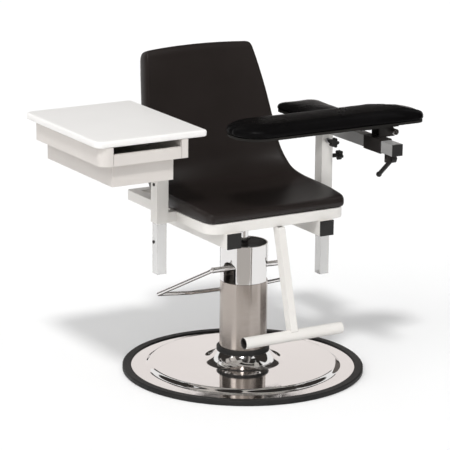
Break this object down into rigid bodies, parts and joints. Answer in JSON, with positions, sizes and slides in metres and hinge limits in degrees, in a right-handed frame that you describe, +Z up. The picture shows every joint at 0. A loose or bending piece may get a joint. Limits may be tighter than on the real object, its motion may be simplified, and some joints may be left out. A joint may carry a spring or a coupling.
{
  "type": "blood draw chair",
  "caption": "Black bucket seat on a white tube frame and a chromed hydraulic pedestal, with a drawer table, a footrest bar, an armrest and a padded arm that flips up.",
  "frame": {"origin": "on the floor under the column's axis", "axes": "+Z up, the sitter faces -Y, the drawer table is at -X and the padded arm's hinge at +X"},
  "size_m": [0.87, 0.626, 0.7934],
  "materials": {
    "chrome": "polished",
    "rubber": "satin black",
    "iron": "dark casting, matt",
    "brushed": "brushed round the tube",
    "fastener": "zinc plated",
    "bronze": "machined",
    "frame_paint": "warm off-white powder coat",
    "bar_steel": "bright plated",
    "plug_plastic": "black, fine grain",
    "shell_plastic": "black-brown, fine pebble grain",
    "laminate": "pale laminate, satin",
    "case_plastic": "warm off-white enamel",
    "board": "plywood, black underside",
    "vinyl": "black vinyl over foam, soft sheen",
    "black_paint": "black powder coat"
  },
  "bodies": {
    "base": {"base_cover": "chrome", "base_rim": "rubber", "base_weight": "iron", "base_bolts": "fastener", "base_collar": "rubber", "column_tube": "brushed", "thrust_ring": "bronze", "guide_bush": "bronze"},
    "pump": {"pump_cylinder": "iron", "pump_head": "iron", "gland_ring": "fastener", "column_shroud": "chrome"},
    "pedal": {"pump_axle": "chrome", "pump_hoop": "chrome"},
    "seat": {"ram": "chrome", "seat_hub": "iron", "seat_plate": "frame_paint", "left_rail": "frame_paint", "right_rail": "frame_paint", "rail_caps": "plug_plastic", "seat_frame": "frame_paint", "seat_shell": "shell_plastic", "seat_screws": "fastener", "footrest_strut": "frame_paint", "footrest_bar": "frame_paint", "left_sleeve": "frame_paint", "right_sleeve": "frame_paint", "sleeve_bolt": "black_paint", "knob_bosses": "fastener"},
    "table": {"left_post": "bar_steel", "post_stop": "black_paint", "table_bracket": "frame_paint", "table_top": "laminate", "drawer_case": "case_plastic", "drawer_runners": "brushed", "table_screws": "fastener"},
    "drawer": {"drawer_front": "case_plastic", "drawer_tub": "case_plastic"},
    "arm": {"right_post": "bar_steel", "arm_bar": "bar_steel", "bar_caps": "plug_plastic", "armrest_board": "board", "armrest_pad": "vinyl", "armrest_screws": "fastener"},
    "slider": {"slider_block": "black_paint", "hinge_bracket": "black_paint", "hinge_pin": "chrome"},
    "clamp": {"clamp_lever": "plug_plastic", "clamp_screw": "chrome"},
    "flip_arm": {"hinge_knuckle": "black_paint", "flip_board": "board", "flip_pad": "vinyl", "pad_screws": "fastener"},
    "post_knob": {"front_knob": "plug_plastic"},
    "lower_knob": {"side_knob": "plug_plastic"}
  },
  "joints": [
    {"name": "seat_swivel", "type": "hinge", "parent": "base", "child": "pump", "pos_m": [0, 0, 0.221], "axis": [0, 0, 1], "continuous": true},
    {"name": "pedal_pump", "type": "hinge", "parent": "pump", "child": "pedal", "pos_m": [-0.00288, -0.03287, 0.277], "axis": [-0.9962, 0.0872, 0], "range_deg": [0, 18], "stiffness_Nm_per_rad": 3, "springref_deg": -45.84},
    {"name": "seat_lift", "type": "slide", "parent": "pump", "child": "seat", "axis": [0, 0, 1], "range_m": [0, 0.14]},
    {"name": "table_lift", "type": "slide", "parent": "seat", "child": "table", "axis": [0, 0, 1], "range_m": [-0.018, 0.045]},
    {"name": "drawer_slide", "type": "slide", "parent": "table", "child": "drawer", "axis": [0, -1, 0], "range_m": [0, 0.24]},
    {"name": "arm_lift", "type": "slide", "parent": "seat", "child": "arm", "axis": [0, 0, 1], "range_m": [-0.006, 0.15]},
    {"name": "arm_slide", "type": "slide", "parent": "arm", "child": "slider", "axis": [0, 1, 0], "range_m": [-0.045, 0.06]},
    {"name": "clamp_turn", "type": "hinge", "parent": "slider", "child": "clamp", "pos_m": [0.2549, -0.2645, 0.5714], "axis": [1, 0, 0], "range_deg": [-30, 30]},
    {"name": "arm_flip", "type": "hinge", "parent": "slider", "child": "flip_arm", "pos_m": [0.271, -0.226, 0.6372], "axis": [0, 1, 0], "range_deg": [0, 85]},
    {"name": "post_knob_turn", "type": "hinge", "parent": "seat", "child": "post_knob", "pos_m": [0.238, -0.0069, 0.568], "axis": [0, -1, 0], "continuous": true},
    {"name": "lower_knob_turn", "type": "hinge", "parent": "seat", "child": "lower_knob", "pos_m": [0.2539, 0.009, 0.522], "axis": [1, 0, 0], "continuous": true}
  ]
}
